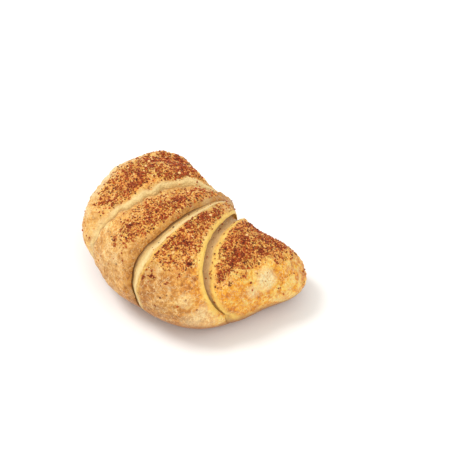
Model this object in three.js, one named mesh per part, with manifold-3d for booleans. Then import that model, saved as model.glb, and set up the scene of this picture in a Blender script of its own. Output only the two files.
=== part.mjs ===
// A mini croissant: a roll of flaky dough bent into a short crescent, with coarse spice crumbs baked onto it.
// Millimetres, +Z up. The roll lies on its flat foot at z = 0. Its round front faces -Y, and the small bay
// between its two tips opens towards +Y. The origin is under the middle of its bounding box.
//
// The surface is a section swept round one upright line, the pinch, where all the folds of the dough meet.
// A point of it has an azimuth, counted round the pinch from -Y and positive towards +X, and a section angle,
// counted from the front of the roll (0) over the crown (90) to the bay side (180) and back under the foot.
import * as THREE from "three";
import { mergeVertices } from "three/addons/utils/BufferGeometryUtils.js";
import Module from "manifold-3d";

// The roll as a whole.
const PINCH = new THREE.Vector2(-3.3, 25.9); // where the upright line stands
const BEND_RADIUS = 31.7; // from the pinch to the middle of the roll
const TIP_TUCK = 2; // how much nearer to the pinch the tips are
const HALF_WIDTH = 30.6;
const HEIGHT = 38.1;
const BELLY_LEVEL = 0.41; // height of the widest place, as a share of the height
const FOOT_DEPTH = 0.5; // how far the section would go below the belly if the tray didn't flatten it
const CROWN_SHIFT = 0.4; // the crown stands this much further from the pinch than the foot
const NOSE_LIFT = 4; // the tips' noses rise this high off the tray
const NOSE_SHARE = 0.45; // over this last share of the way to a tip
const FATTEST_AZIMUTH = 1;
const TIPS = [
  { azimuth: -85.6, widthPower: 1.6, widthRoot: 0.68, heightPower: 3, heightRoot: 0.62 },
  { azimuth: 111, widthPower: 1.9, widthRoot: 0.52, heightPower: 2.6, heightRoot: 0.62 },
];
// How far the roll swells past that even taper, forwards at its front and upwards at its crown, from tip to tip.
const SWELLS = [
  { azimuth: -85, front: 0, crown: 0 },
  { azimuth: -65, front: -0.6, crown: -0.2 },
  { azimuth: -45, front: -0.4, crown: 0.9 },
  { azimuth: -25, front: 1.7, crown: 0.6 },
  { azimuth: -5, front: 0.6, crown: -0.1 },
  { azimuth: 15, front: 2.7, crown: 1.8 },
  { azimuth: 35, front: -0.6, crown: 0.8 },
  { azimuth: 55, front: -0.3, crown: -1.1 },
  { azimuth: 75, front: -4.7, crown: -0.6 },
  { azimuth: 95, front: 0, crown: -0.4 },
  { azimuth: 110, front: 0, crown: 0 },
];

// The wraps of dough, counted from the far tip to the near one, and how far each bellies out at its front.
const BELLIES = [0, -0.5, -1.9, 4.9, 0.8];
const LAST_WRAP = BELLIES.length - 1;
const MIDDLE_WRAP = 2; // lies on top: each other wrap comes out from under the neighbour nearer to it
// The lips between them, in degrees of azimuth: where each is at the front foot, how much it has moved on at the
// bay side, how much it bows out over the crown, and how unevenly it runs: a slow sway and a quicker ripple,
// each as the heights of a sine and a cosine wave.
const LIPS = [
  { front: -34, slant: -19.1, bow: -8.3, sway: [-0.6, -0.8], ripple: [0.2, -0.4] },
  { front: -3.5, slant: -2, bow: -1.6, sway: [1.4, 1.4], ripple: [-0.1, 2] },
  { front: 22.5, slant: 21.5, bow: -10, sway: [1.2, -0.7], ripple: [0.5, 0.4] },
  { front: 56.6, slant: 19, bow: -19.4, sway: [0.6, -0.3], ripple: [-0.2, -0.2] },
];
const SWAY_WAVES = 2; // waves in a full turn of the section
const RIPPLE_WAVES = 5;
const LIP_ROUND = 1.8; // width and drop of a lip's rounded rim
const LIP_DROP = 1.1;
const RIM_SHARE = 0.2; // a rim is at most this share of its wrap's width
const STEP_DEPTH = 2.2; // from a wrap's crust down to the band of dough that comes out from under it
const BAND_WIDTH = 5;
const BAND_SHARE = 0.4; // a band is at most this share of its wrap's width
const UNDERCUT = 0.4; // the crack goes this far in under the lip
const PILLOW = 0.8; // each wrap swells this much between its edges
const RELIEF_GAIN = 1.3; // how fast the folds fade out towards the foot, and where
const RELIEF_OFFSET = 0.75;

// Slow unevenness of hand-rolled dough.
const LUMP_WAVES = 6;
const LUMP_LENGTH = 34;
const LUMP_SHRINK = 0.85; // each wave's length, as a share of the one before
const LUMP_HEIGHT = 0.3;

// The crumbs, where they lie: degrees of the section angle, and shares of the way across a wrap.
const CRUMB_COUNT = 170;
const CRUMB_SIZES = [0.85, 0.55]; // half length of the largest and of the smallest
const CRUMB_SQUASH = [0.75, 0.6]; // its other two half axes, as shares
const CRUMB_SINK = 0.3; // share of its half length that is baked into the crust
const CRUMB_GAP = 2.8; // least distance between two
const CRUMB_CORNERS = [0.8, 1.15]; // how far its corners stand out
const CRUMB_SEED = 7;
const COVER = { front: 34, frontFade: 40, bay: 172, bayFade: 20 };
const COVER_EDGES = { band: 0.36, lip: 0.1, nearTip: 0.78 };

// The mesh.
const CROWN_STEPS = 34; // steps of a section from low on its front over the crown to low on its bay side
const FOOT_STEPS = 10; // and on under the foot
const FOOT_ANGLE = 140; // degrees of the section that those take
const WRAP_STEPS = 11;
const GOLDEN_ANGLE = Math.PI * (3 - Math.sqrt(5));
const AZIMUTH_STEP = 0.05; // steps for the normal, in degrees and radians
const ANGLE_STEP = 0.001;
const TOUCHING = 1e-6;
const MERGE_DISTANCE = 0.02;

const radians = THREE.MathUtils.degToRad;
const { clamp, lerp } = THREE.MathUtils;

function smooth(x) {
  const s = clamp(x, 0, 1);
  return s * s * (3 - 2 * s);
}

// The azimuths where the five wraps start and end, at a section angle in radians.
function wrapEdges(angle) {
  const across = (1 - Math.cos(angle)) / 2;
  const over = Math.max(Math.sin(angle), 0);
  const wave = ([sine, cosine], waves) => sine * Math.sin(waves * angle) + cosine * Math.cos(waves * angle);
  const lips = LIPS.map((lip) => {
    const uneven = wave(lip.sway, SWAY_WAVES) + wave(lip.ripple, RIPPLE_WAVES);
    return lip.front + lip.slant * across + (lip.bow + uneven) * over;
  });
  return [TIPS[0].azimuth, ...lips, TIPS[1].azimuth];
}

// How far the roll swells at an azimuth, blended smoothly between the stated places.
function swellAt(azimuth) {
  const next = SWELLS.findIndex((stated, i) => i > 0 && azimuth <= stated.azimuth);
  if (next < 0 || azimuth < SWELLS[0].azimuth) return { front: 0, crown: 0 };
  const [from, to] = [SWELLS[next - 1], SWELLS[next]];
  const share = smooth((azimuth - from.azimuth) / (to.azimuth - from.azimuth));
  return { front: lerp(from.front, to.front, share), crown: lerp(from.crown, to.crown, share) };
}

// A point of the roll before its folds are cut in. Its section is a half circle above the belly, scaled to the
// roll's width and height there, and a shallower one below it that the tray cuts off flat. The wrap that the
// point is on bellies out at the front by the given amount.
function rollPoint(azimuth, angle, belly) {
  const tip = TIPS[azimuth > FATTEST_AZIMUTH ? 1 : 0];
  const t = clamp((azimuth - FATTEST_AZIMUTH) / (tip.azimuth - FATTEST_AZIMUTH), 0, 1);
  const halfWidth = HALF_WIDTH * (1 - t ** tip.widthPower) ** tip.widthRoot;
  const height = HEIGHT * (1 - t ** tip.heightPower) ** tip.heightRoot;
  const swell = swellAt(azimuth);
  const side = Math.cos(angle);
  const up = Math.sin(angle);
  const level = Math.max(BELLY_LEVEL + up * (up > 0 ? 1 - BELLY_LEVEL : FOOT_DEPTH), 0);
  const reach = side > 0 ? halfWidth + swell.front + belly * side : halfWidth;
  const radius = BEND_RADIUS - TIP_TUCK * t * t + reach * side + CROWN_SHIFT * level;
  const turn = radians(azimuth - 90);
  return new THREE.Vector3(
    PINCH.x + radius * Math.cos(turn),
    PINCH.y + radius * Math.sin(turn),
    (height + swell.crown) * level + NOSE_LIFT * smooth((t - 1 + NOSE_SHARE) / NOSE_SHARE),
  );
}

// The outward normal, from four points close by.
function rollNormal(azimuth, angle, belly) {
  const at = (alongStep, roundStep) => rollPoint(azimuth + alongStep, angle + roundStep, belly);
  const along = at(AZIMUTH_STEP, 0).sub(at(-AZIMUTH_STEP, 0));
  const round = at(0, ANGLE_STEP).sub(at(0, -ANGLE_STEP));
  return along.cross(round).normalize();
}

// Slow lumps: a few sine waves whose directions are spread by the golden angle.
function lumps(point) {
  let sum = 0;
  for (let i = 0; i < LUMP_WAVES; i++) {
    const rise = 1 - (2 * i + 1) / LUMP_WAVES;
    const flat = Math.sqrt(1 - rise * rise);
    const turn = i * GOLDEN_ANGLE;
    const direction = new THREE.Vector3(flat * Math.cos(turn), flat * Math.sin(turn), rise);
    const length = LUMP_LENGTH * LUMP_SHRINK ** i;
    sum += Math.sin((2 * Math.PI * direction.dot(point)) / length + i * i);
  }
  return LUMP_HEIGHT * sum;
}

// A point of the finished crust: wrap number, share of the way across that wrap (0 to 1) and section angle. Near
// its own lip a wrap rounds down, and where it comes out from under its neighbour it starts low, as a bare band.
function crustPoint(wrap, share, angle) {
  const edges = wrapEdges(angle);
  const [start, end] = [edges[wrap], edges[wrap + 1]];
  const azimuth = lerp(start, end, share);
  const belly = BELLIES[wrap] * Math.sin(Math.PI * share);
  const bare = rollPoint(azimuth, angle, belly);
  const perDegree = radians(Math.hypot(bare.x - PINCH.x, bare.y - PINCH.y));
  const width = (end - start) * perDegree;
  const fromStart = (azimuth - start) * perDegree;
  const fromEnd = (end - azimuth) * perDegree;
  const coveredAt = wrap < MIDDLE_WRAP ? fromEnd : wrap > MIDDLE_WRAP ? fromStart : Infinity;
  const ownLipAt = [];
  if (wrap > 0 && wrap <= MIDDLE_WRAP) ownLipAt.push(fromStart);
  if (wrap < LAST_WRAP && wrap >= MIDDLE_WRAP) ownLipAt.push(fromEnd);

  const band = Math.min(BAND_WIDTH, BAND_SHARE * width);
  const rim = Math.min(LIP_ROUND, RIM_SHARE * width);
  const narrow = band / BAND_WIDTH;
  let depth = 0;
  if (coveredAt < band) depth += STEP_DEPTH * narrow * (1 - smooth(coveredAt / band));
  for (const at of ownLipAt) {
    const over = clamp(1 - at / rim, 0, 1);
    depth += LIP_DROP * (rim / LIP_ROUND) * (1 - Math.sqrt(1 - over * over));
  }
  const rise = lumps(bare) + PILLOW * narrow * Math.sin(Math.PI * share);
  const fade = smooth(RELIEF_GAIN * Math.sin(angle) + RELIEF_OFFSET);
  const hidden = coveredAt < TOUCHING ? (UNDERCUT * narrow * fade) / perDegree : 0;
  const shifted = azimuth + (wrap < MIDDLE_WRAP ? hidden : -hidden);
  const place = hidden > 0 ? rollPoint(shifted, angle, belly) : bare;
  const point = place.addScaledVector(rollNormal(azimuth, angle, belly), (rise - depth) * fade);
  point.z = Math.max(point.z, 0);
  return point;
}

// Shares of the way across a wrap, close together at both of its edges.
function wrapShares() {
  const shares = [];
  for (let i = 0; i <= WRAP_STEPS; i++) shares.push((1 - Math.cos((i * Math.PI) / WRAP_STEPS)) / 2);
  return shares;
}

// The section angles, with longer steps under the foot.
function sectionAngles() {
  const low = (180 - FOOT_ANGLE) / 2;
  const angles = [];
  for (let i = 0; i < CROWN_STEPS; i++) {
    angles.push(radians(-low + ((360 - FOOT_ANGLE) * i) / CROWN_STEPS));
  }
  for (let i = 0; i < FOOT_STEPS; i++) {
    angles.push(radians(180 + low + (FOOT_ANGLE * i) / FOOT_STEPS));
  }
  return angles;
}

// The whole crust as one closed mesh: rings of points from one tip to the other, with a single point at each tip.
function crustGeometry() {
  const angles = sectionAngles();
  const rings = [];
  for (let wrap = 0; wrap <= LAST_WRAP; wrap++) {
    for (const share of wrapShares()) {
      const atTip = (wrap === 0 && share < TOUCHING) || (wrap === LAST_WRAP && share > 1 - TOUCHING);
      if (!atTip) rings.push(angles.map((angle) => crustPoint(wrap, share, angle)));
    }
  }
  const positions = [];
  const face = (a, b, c) => positions.push(...a.toArray(), ...b.toArray(), ...c.toArray());
  const farTip = crustPoint(0, 0, 0);
  const nearTip = crustPoint(LAST_WRAP, 1, 0);
  for (let step = 0; step < angles.length; step++) {
    const next = (step + 1) % angles.length;
    face(farTip, rings[0][step], rings[0][next]);
    for (let i = 0; i + 1 < rings.length; i++) {
      face(rings[i][step], rings[i + 1][step], rings[i + 1][next]);
      face(rings[i][step], rings[i + 1][next], rings[i][next]);
    }
    face(rings.at(-1)[step], nearTip, rings.at(-1)[next]);
  }
  const geometry = new THREE.BufferGeometry();
  geometry.setAttribute("position", new THREE.Float32BufferAttribute(positions, 3));
  return geometry;
}

// Repeatable random numbers from 0 to 1: a counter whose bits are mixed.
function seededRandom(seed) {
  let state = seed;
  return () => {
    state = (state + 0x6d2b79f5) | 0;
    let mixed = Math.imul(state ^ (state >>> 15), 1 | state);
    mixed = (mixed + Math.imul(mixed ^ (mixed >>> 7), 61 | mixed)) ^ mixed;
    return ((mixed ^ (mixed >>> 14)) >>> 0) / 2 ** 32;
  };
}

// How thickly the crumbs lie, from 0 to 1: full from the crown to the bay side, thinning out down the front.
function crumbCover(wrap, share, angle) {
  const degrees = THREE.MathUtils.radToDeg(angle);
  const pastFront = smooth((degrees - COVER.front) / COVER.frontFade);
  const beforeBay = smooth((COVER.bay - degrees) / COVER.bayFade);
  let [first, last] = [COVER_EDGES.lip, 1 - COVER_EDGES.lip];
  if (wrap < MIDDLE_WRAP) last = 1 - COVER_EDGES.band;
  if (wrap > MIDDLE_WRAP) first = COVER_EDGES.band;
  if (wrap === LAST_WRAP) last = COVER_EDGES.nearTip;
  return share > first && share < last ? pastFront * beforeBay : 0;
}

// One crumb: a squashed, crooked icosahedron of the given half length, lying on the crust.
function crumbGeometry(spot, normal, size, random) {
  const geometry = new THREE.IcosahedronGeometry(1, 0);
  geometry.deleteAttribute("normal");
  geometry.deleteAttribute("uv");
  const crumb = mergeVertices(geometry);
  const corners = crumb.getAttribute("position");
  const corner = new THREE.Vector3();
  for (let i = 0; i < corners.count; i++) {
    corner.fromBufferAttribute(corners, i).multiplyScalar(lerp(...CRUMB_CORNERS, random()));
    corners.setXYZ(i, ...corner.toArray());
  }
  const up = new THREE.Vector3(0, 0, 1);
  const spin = new THREE.Quaternion().setFromAxisAngle(up, 2 * Math.PI * random());
  const stand = new THREE.Quaternion().setFromUnitVectors(up, normal);
  const scale = new THREE.Vector3(size, size * CRUMB_SQUASH[0], size * CRUMB_SQUASH[1]);
  const middle = spot.clone().addScaledVector(normal, size * (CRUMB_SQUASH[1] - CRUMB_SINK));
  crumb.applyMatrix4(new THREE.Matrix4().compose(middle, stand.multiply(spin), scale));
  return crumb;
}

// The crumbs, largest first, spread by the cover above and never closer than their gap.
function crumbGeometries() {
  const random = seededRandom(CRUMB_SEED);
  const spots = [];
  const crumbs = [];
  while (crumbs.length < CRUMB_COUNT) {
    const wrap = Math.floor(random() * (LAST_WRAP + 1));
    const share = random();
    const angle = Math.PI * random();
    if (random() > crumbCover(wrap, share, angle)) continue;
    const spot = crustPoint(wrap, share, angle);
    if (spots.some((other) => other.distanceTo(spot) < CRUMB_GAP)) continue;
    spots.push(spot);
    const azimuth = lerp(...wrapEdges(angle).slice(wrap, wrap + 2), share);
    const normal = rollNormal(azimuth, angle, BELLIES[wrap] * Math.sin(Math.PI * share));
    const size = lerp(...CRUMB_SIZES, crumbs.length / CRUMB_COUNT);
    crumbs.push(crumbGeometry(spot, normal, size, random));
  }
  return crumbs;
}

const wasm = await Module();
wasm.setup();

// A closed geometry as a solid, with points that lie together made one and the faces this closes up left out.
function solid(geometry) {
  const merged = mergeVertices(geometry, MERGE_DISTANCE);
  const triVerts = [];
  for (let i = 0; i < merged.index.count; i += 3) {
    const [a, b, c] = [0, 1, 2].map((k) => merged.index.getX(i + k));
    if (a !== b && b !== c && c !== a) triVerts.push(a, b, c);
  }
  const mesh = new wasm.Mesh({
    numProp: 3,
    vertProperties: new Float32Array(merged.getAttribute("position").array),
    triVerts: new Uint32Array(triVerts),
  });
  return new wasm.Manifold(mesh);
}

function geometryOf(manifold) {
  const mesh = manifold.getMesh();
  const geometry = new THREE.BufferGeometry();
  geometry.setAttribute("position", new THREE.BufferAttribute(mesh.vertProperties, 3));
  geometry.setIndex(new THREE.BufferAttribute(mesh.triVerts, 1));
  const facets = geometry.toNonIndexed();
  facets.computeVertexNormals();
  return facets;
}

let baked = solid(crustGeometry());
for (const crumb of crumbGeometries()) baked = baked.add(solid(crumb));
// A crumb that misses the crust is a loose scrap, and is dropped.
baked = baked.decompose().sort((one, other) => other.volume() - one.volume())[0];

const crust = new THREE.MeshStandardMaterial({ color: 0xd9a864, roughness: 0.6, metalness: 0 });
const croissant = new THREE.Mesh(geometryOf(baked), crust);
croissant.name = "croissant";

const part = new THREE.Group();
part.add(croissant);
export default part;
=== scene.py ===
# A mini croissant with coarse spice baked onto its crown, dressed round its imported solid. Shapes are worked
# out in millimetres, +Z up, in the solid's own frame, and scaled to metres as the meshes are made.
import math

import bpy
import numpy as np
from mathutils import Matrix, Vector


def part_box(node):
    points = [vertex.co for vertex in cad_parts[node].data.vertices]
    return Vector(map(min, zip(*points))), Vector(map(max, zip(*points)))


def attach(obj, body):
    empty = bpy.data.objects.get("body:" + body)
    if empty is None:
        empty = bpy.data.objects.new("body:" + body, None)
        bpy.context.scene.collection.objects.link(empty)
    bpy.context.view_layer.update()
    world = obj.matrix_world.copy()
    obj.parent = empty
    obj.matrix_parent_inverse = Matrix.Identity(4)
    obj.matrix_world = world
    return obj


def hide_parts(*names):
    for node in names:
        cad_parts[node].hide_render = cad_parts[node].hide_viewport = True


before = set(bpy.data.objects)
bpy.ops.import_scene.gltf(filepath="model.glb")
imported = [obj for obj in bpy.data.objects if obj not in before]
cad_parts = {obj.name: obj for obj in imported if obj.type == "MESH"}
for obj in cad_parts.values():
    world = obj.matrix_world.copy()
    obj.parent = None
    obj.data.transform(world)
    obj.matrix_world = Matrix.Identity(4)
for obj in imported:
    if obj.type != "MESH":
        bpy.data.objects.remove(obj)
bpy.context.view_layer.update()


# ---- The crust ---------------------------------------------------------------------------------------------
# One long triangle of laminated dough, rolled up into five wraps and bent round until its tips nearly meet.
# The middle wrap lies on top, and each other one comes out from under its neighbour's lip, where the dough
# stretched in the oven and left a pale band without egg wash.
MM = 0.001
# The plain roll is swept round an upright line, the pinch. A point has an azimuth round that line, in degrees
# from -Y, and a section angle, which goes from the front (0) over the crown (90) to the bay (180).
PINCH = np.array([-3.3, 25.9])
BEND_RADIUS = 31.7
TIP_TUCK = 2.0
FATTEST_AZIMUTH = 1.0
HALF_WIDTH = 30.6
HEIGHT = 38.1
CROWN_SHIFT = 0.4
# the level of the belly and the depth of the part below it, as shares of the height
BELLY_LEVEL = 0.41
FOOT_DEPTH = 0.5
# how high a tip lifts off the tray, and over what share of the way to it
NOSE_LIFT = 4.0
NOSE_SHARE = 0.45
# the far tip and the near one: where they are, and how width and height shrink towards them
TIP_AZIMUTH = np.array([-85.6, 111.0])
WIDTH_POWER = np.array([1.6, 1.9])
WIDTH_ROOT = np.array([0.68, 0.52])
HEIGHT_POWER = np.array([3.0, 2.6])
HEIGHT_ROOT = np.array([0.62, 0.62])
# how far the front and the crown stand out at these azimuths
SWELL_AZIMUTH = np.array([-85, -65, -45, -25, -5, 15, 35, 55, 75, 95, 110])
SWELL_FRONT = np.array([0, -0.6, -0.4, 1.7, 0.6, 2.7, -0.6, -0.3, -4.7, 0, 0])
SWELL_CROWN = np.array([0, -0.2, 0.9, 0.6, -0.1, 1.8, 0.8, -1.1, -0.6, -0.4, 0])
WRAPS = 5
MIDDLE_WRAP = 2
# how far the middle of each wrap's front bulges
BELLIES = np.array([0, -0.5, -1.9, 4.9, 0.8])
# the four lips: front, slant, bow, sway (sine, cosine), ripple (sine, cosine), in degrees of azimuth
LIPS = np.array([
    [-34.0, -19.1, -8.3, -0.6, -0.8, 0.2, -0.4],
    [-3.5, -2.0, -1.6, 1.4, 1.4, -0.1, 2.0],
    [22.5, 21.5, -10.0, 1.2, -0.7, 0.5, 0.4],
    [56.6, 19.0, -19.4, 0.6, -0.3, -0.2, -0.2],
])
SWAY_WAVES = (2, 5)
RAGGED_WAVES = (17, 29)
# how ragged each lip is, in degrees
LIP_RAGGED = np.array([0.5, 1.3, 0.25, 0.2])


def smooth(x):
    """Three x squared minus two x cubed, with x held between 0 and 1."""
    x = np.clip(x, 0, 1)
    return x * x * (3 - 2 * x)


def swell(azimuth, stated):
    """Stated values at the swell azimuths, blended between neighbours by smooth()."""
    i = np.clip(np.searchsorted(SWELL_AZIMUTH, azimuth) - 1, 0, len(SWELL_AZIMUTH) - 2)
    gap = SWELL_AZIMUTH[i + 1] - SWELL_AZIMUTH[i]
    return stated[i] + (stated[i + 1] - stated[i]) * smooth((azimuth - SWELL_AZIMUTH[i]) / gap)


def roll_point(azimuth, angle, belly):
    """A ring round the pinch that carries a section, whose upper part is a half ellipse and whose lower part
    is a shallower one cut off by the tray. Width and height are the full ones times (1 - t^power)^root, where
    t goes from 0 at the fattest place to 1 at a tip."""
    tip = (azimuth > FATTEST_AZIMUTH).astype(int)
    t = np.clip((azimuth - FATTEST_AZIMUTH) / (TIP_AZIMUTH[tip] - FATTEST_AZIMUTH), 0, 1)
    half_width = HALF_WIDTH * (1 - t ** WIDTH_POWER[tip]) ** WIDTH_ROOT[tip]
    height = HEIGHT * (1 - t ** HEIGHT_POWER[tip]) ** HEIGHT_ROOT[tip]
    side, up = np.cos(angle), np.sin(angle)
    level = np.maximum(BELLY_LEVEL + up * np.where(up > 0, 1 - BELLY_LEVEL, FOOT_DEPTH), 0)
    reach = half_width + np.where(side > 0, swell(azimuth, SWELL_FRONT) + belly * side, 0)
    radius = BEND_RADIUS - TIP_TUCK * t * t + reach * side + CROWN_SHIFT * level
    turn = np.radians(azimuth - 90)
    nose = NOSE_LIFT * smooth((t - 1 + NOSE_SHARE) / NOSE_SHARE)
    z = (height + swell(azimuth, SWELL_CROWN)) * level + nose
    return np.stack([PINCH[0] + radius * np.cos(turn), PINCH[1] + radius * np.sin(turn), z], -1)


def roll_normal(azimuth, angle, belly, along=0.05, around=0.001):
    """The cross product of the surface's two directions, each from two points close by."""
    a = roll_point(azimuth + along, angle, belly) - roll_point(azimuth - along, angle, belly)
    b = roll_point(azimuth, angle + around, belly) - roll_point(azimuth, angle - around, belly)
    normal = np.cross(a, b)
    return normal / np.maximum(np.linalg.norm(normal, axis=-1, keepdims=True), 1e-9)


def wrap_edges(angle):
    """Where the tips and the four lips are at a section angle: a straight slant from front to bay, with a
    bow, a sway and a ripple over the crown, made ragged by two short waves."""
    across, over = (1 - np.cos(angle)) / 2, np.maximum(np.sin(angle), 0)
    front, slant, bow, *waves = LIPS.T[:, :, None]
    uneven = sum(
        waves[2 * i] * np.sin(count * angle) + waves[2 * i + 1] * np.cos(count * angle)
        for i, count in enumerate(SWAY_WAVES)
    )
    order = np.arange(len(LIPS))[:, None]
    ragged = sum(np.sin(count * angle + (i + 1) * order) for i, count in enumerate(RAGGED_WAVES))
    lips = front + slant * across + (bow + uneven + 0.5 * LIP_RAGGED[:, None] * ragged) * over
    tips = np.broadcast_to(TIP_AZIMUTH[:, None], (2, len(angle)))
    return np.vstack([tips[:1], lips, tips[1:]])


def place_on_wrap(wrap, share, degrees):
    """The point of the plain roll at a share of the way across a wrap and a section angle in degrees."""
    angle = np.radians(np.array([degrees], float))
    edges = wrap_edges(angle)
    azimuth = edges[wrap] + (edges[wrap + 1] - edges[wrap]) * share
    return roll_point(azimuth, angle, BELLIES[wrap] * math.sin(math.pi * share))[0]


LUMP_WAVES = 6
LUMP_LENGTH = 34
LUMP_SHRINK = 0.85
LUMP_HEIGHT = 0.3
GOLDEN_ANGLE = math.pi * (3 - math.sqrt(5))


def lumps(points):
    """The slow unevenness of hand-rolled dough: sine waves, each shorter than the last, with their directions
    spread by the golden angle."""
    height = 0
    for i in range(LUMP_WAVES):
        rise = 1 - (2 * i + 1) / LUMP_WAVES
        flat = math.sqrt(1 - rise * rise)
        turn = i * GOLDEN_ANGLE
        way = np.array([flat * math.cos(turn), flat * math.sin(turn), rise])
        length = LUMP_LENGTH * LUMP_SHRINK**i
        height = height + np.sin(2 * math.pi * (points @ way) / length + i * i)
    return LUMP_HEIGHT * height


# odd numbers that mix a cell's three numbers, its seed and then the bits of their sum
CELL_MIX = (374761393, 668265263, 2147483647)
SEED_MIX = 974711
BIT_MIX = (1274126177, 2246822519)
# a turn that keeps the lattice of a grain from lining up with the axes
GRAIN_TURN = np.array([[0.8, 0.36, -0.48], [-0.6, 0.48, -0.64], [0, 0.8, 0.6]])


def lattice(cells, seed):
    """A repeatable random number from 0 to 1 for each whole-numbered cell: its three numbers and the seed are
    multiplied by large odd numbers, added, and their bits mixed."""
    h = np.uint32(seed * SEED_MIX + 1)
    for i, factor in enumerate(CELL_MIX):
        h = h + cells[..., i].astype(np.int64).astype(np.uint32) * np.uint32(factor)
    h = (h ^ (h >> np.uint32(13))) * np.uint32(BIT_MIX[0])
    h = (h ^ (h >> np.uint32(16))) * np.uint32(BIT_MIX[1])
    return ((h ^ (h >> np.uint32(13))) & np.uint32(0xFFFFFF)) / float(0x1000000)


def grain(points, size, seed):
    """Random heights from -1 to 1 at the corners of a cubic lattice, blended in between by smooth()."""
    turned = points @ GRAIN_TURN
    low = np.floor(turned / size)
    part = smooth(turned / size - low)
    total = 0
    for corner in np.ndindex(2, 2, 2):
        weight = np.prod(np.where(np.array(corner) == 1, part, 1 - part), axis=-1)
        total = total + weight * lattice(low + corner, seed)
    return 2 * total - 1


def grains(points, parts, level=0):
    """Grains added to a level, each given by its strength, its size in millimetres and its seed."""
    return sum((strength * grain(points, size, seed) for strength, size, seed in parts), level)


def domes(points, spacing, seed):
    """Round domes from 0 to 1, one round a random spot of each cubic cell: 1 minus the squared distance over
    the dome's own squared radius, and the tallest of the neighbouring cells' domes."""
    low = np.floor(points / spacing)
    tallest = np.zeros(points.shape[:-1])
    for step in np.ndindex(3, 3, 3):
        cell = low + step - 1
        spot = (cell + np.stack([lattice(cell, seed + i) for i in range(3)], -1)) * spacing
        radius = spacing * (0.25 + 0.4 * lattice(cell, seed + 3))
        away = ((points - spot) ** 2).sum(-1) / radius**2
        tallest = np.maximum(tallest, (1 - np.minimum(away, 1)) * (0.3 + 0.7 * lattice(cell, seed + 4)))
    return tallest


# How the mesh is laid out: columns across each wrap, of which a share is spaced evenly and the rest closer at
# the edges, columns of a lip's nose and of the tuck behind it, and rows above and below the foot's angle.
MAIN_COLUMNS = 62
EVEN_SHARE = 0.45
NOSE_COLUMNS = 8
TUCK_COLUMNS = 4
CROWN_ROWS = 200
FOOT_ROWS = 22
FOOT_ANGLE = 140.0
# the nose of a lip, in mm: its radius, where its arc starts, how far it hangs over, and how far back and down
# the dough goes on under it
NOSE_RADIUS = 0.5
NOSE_START = math.radians(55)
OVERHANG = 0.36
TUCK = 1.2
TUCK_FALL = 0.12
# how deep the covered wrap starts, as a share of its step
TUCK_DEPTH = 0.88
# How far down each wrap's band starts, in mm, and where its step up to the crust starts and ends, as shares
# of the band's width. An array of five is for the five wraps, from the far one to the near one.
STEP_DEPTH = np.array([1.6, 1.5, 0.0, 2.2, 2.2])
STEP_START = np.array([0.1, 0.15, 0.0, 0.2, 0.42])
STEP_END = np.array([0.8, 0.9, 1.0, 0.75, 0.85])
# what stands for a distance where a wrap has no lip or no band
FAR = 1e3


def section_angles():
    """Even steps from low on the front over the crown to low in the bay, and longer ones under the foot."""
    low = (180 - FOOT_ANGLE) / 2
    crown = np.linspace(-low, 180 + low, CROWN_ROWS, endpoint=False)
    foot = np.linspace(180 + low, 360 - low, FOOT_ROWS, endpoint=False)
    return np.radians(np.concatenate([crown, foot]))


def crust_columns():
    """For every column of the mesh, from the far tip to the near one: its wrap, its share of the way across
    that wrap, how far it lies past the wrap's edge and how far down, and whether it is part of a lip's nose.
    A lip ends in a round nose that hangs over, and turns back under it to where the covered wrap starts."""
    even = np.linspace(0, 1, MAIN_COLUMNS)
    shares = EVEN_SHARE * even + (1 - EVEN_SHARE) * (1 - np.cos(math.pi * even)) / 2
    turn = np.linspace(-NOSE_START, math.pi / 2, NOSE_COLUMNS)
    nose_out = OVERHANG - NOSE_RADIUS + NOSE_RADIUS * np.cos(turn)
    nose_down = NOSE_RADIUS * (math.sin(NOSE_START) + np.sin(turn))
    back = np.linspace(0, 1, TUCK_COLUMNS + 1)[1:]
    nose_out = np.concatenate([nose_out, nose_out[-1] + (-TUCK - nose_out[-1]) * back])
    nose_down = np.concatenate([nose_down, nose_down[-1] + TUCK_FALL * back])
    tuck = np.linspace(0, 1, TUCK_COLUMNS, endpoint=False)
    tuck_out = TUCK * (1 - tuck)
    tuck_down = TUCK_DEPTH + (1 - TUCK_DEPTH) * smooth(tuck)
    columns = []

    def add(wrap, share, out, down, nose):
        """Columns of one wrap, one for each value of out."""
        rows = np.broadcast_arrays(wrap, share, out, down, nose)
        columns.append(np.stack([row.astype(float) for row in rows]))

    for wrap in range(WRAPS):
        if wrap > MIDDLE_WRAP:
            add(wrap, 0, -tuck_out, tuck_down * STEP_DEPTH[wrap], 0)
        if 0 < wrap <= MIDDLE_WRAP:
            add(wrap, 0, -nose_out[::-1], nose_down[::-1], 1)
        add(wrap, shares, 0 * shares, 0 * shares, 0)
        if MIDDLE_WRAP <= wrap < WRAPS - 1:
            add(wrap, 1, nose_out, nose_down, 1)
        if wrap < MIDDLE_WRAP:
            add(wrap, 1, tuck_out[::-1], tuck_down[::-1] * STEP_DEPTH[wrap], 0)
    wrap, share, out, down, nose = np.hstack(columns)[:, 1:-1]  # the tips themselves are single points
    return wrap.astype(int), share, out, down, nose


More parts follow.
